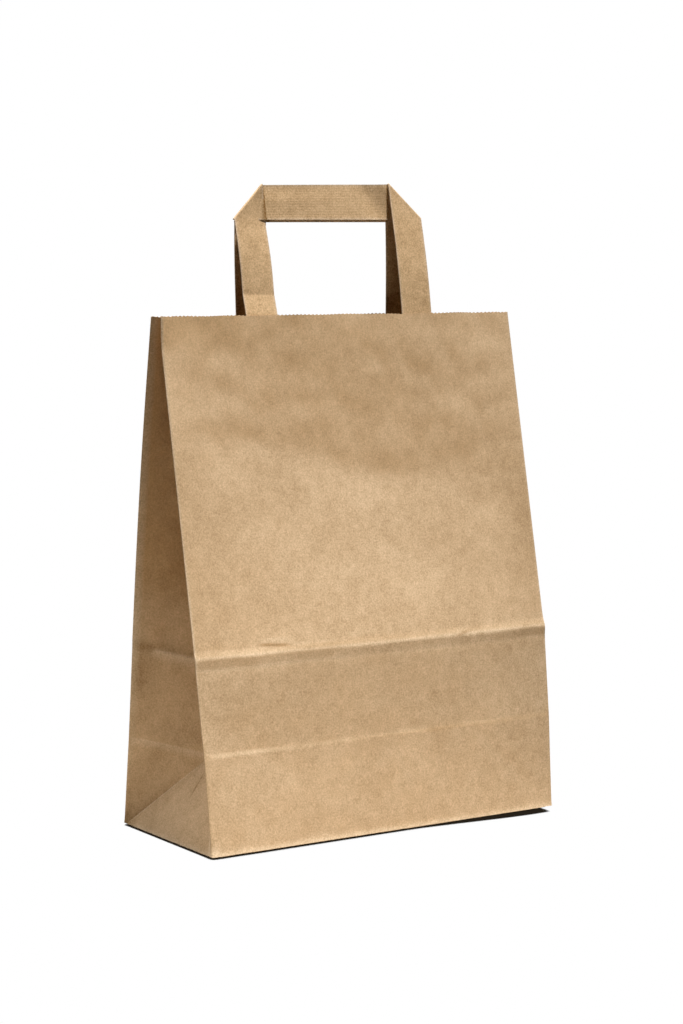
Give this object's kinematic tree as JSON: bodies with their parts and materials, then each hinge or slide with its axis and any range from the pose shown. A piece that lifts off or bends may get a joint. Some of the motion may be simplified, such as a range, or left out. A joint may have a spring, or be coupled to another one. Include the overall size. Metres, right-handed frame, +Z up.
{
  "type": "paper carrier bag",
  "caption": "Standing kraft paper carrier bag with a block bottom, folded side gussets, a nearly closed mouth and flat folded tape handles.",
  "frame": {"origin": "middle of the base, on the surface that the bag stands on", "axes": "+X along the front panel to the right as seen from the front, +Y from the front panel to the rear panel, +Z up towards the handles"},
  "size_m": [0.2206, 0.0956, 0.3405],
  "materials": {
    "kraft_sheet": "matte, fibrous",
    "kraft_tape": "matte, ribbed on the inner side",
    "kraft_patch": "matte"
  },
  "bodies": {
    "root": {"bag_body": "kraft_sheet", "front_handle": "kraft_tape", "rear_handle": "kraft_tape", "front_handle_patch": "kraft_patch", "rear_handle_patch": "kraft_patch"}
  },
  "joints": []
}
